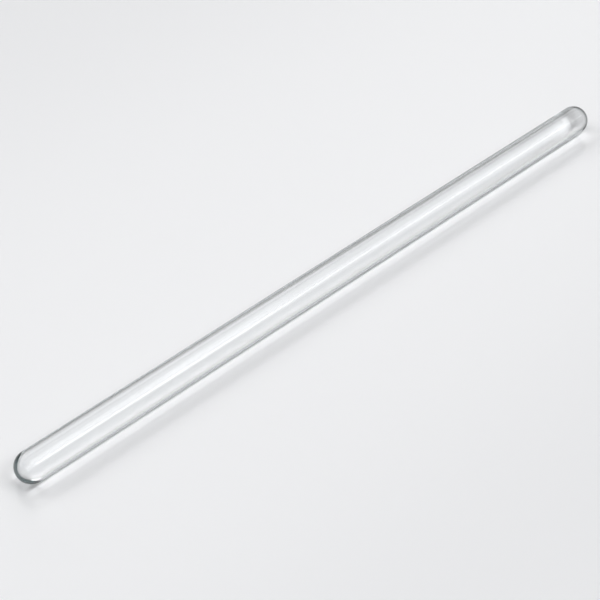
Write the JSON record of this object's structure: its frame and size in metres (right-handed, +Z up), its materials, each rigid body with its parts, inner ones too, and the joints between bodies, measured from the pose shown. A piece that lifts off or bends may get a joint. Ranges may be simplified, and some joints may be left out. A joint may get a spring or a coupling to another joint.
{
  "type": "glass stirring rod",
  "caption": "Solid round rod of clear glass with flame-polished, fully domed ends, for stirring liquids and guiding them as they are poured.",
  "frame": {"origin": "the middle of the rod, on its axis, halfway between its two tips", "axes": "+X along the rod towards one domed tip; +Z up as the rod lies on a table; the rod is the same all the way round X, and its two ends are alike"},
  "size_m": [0.2, 0.008, 0.008],
  "materials": {
    "glass": "clear, colourless drawn glass with a faint grey-green cast through its thickness, smooth and glossy all over, with flame-polished ends"
  },
  "bodies": {
    "root": {"rod": "glass"}
  },
  "joints": []
}
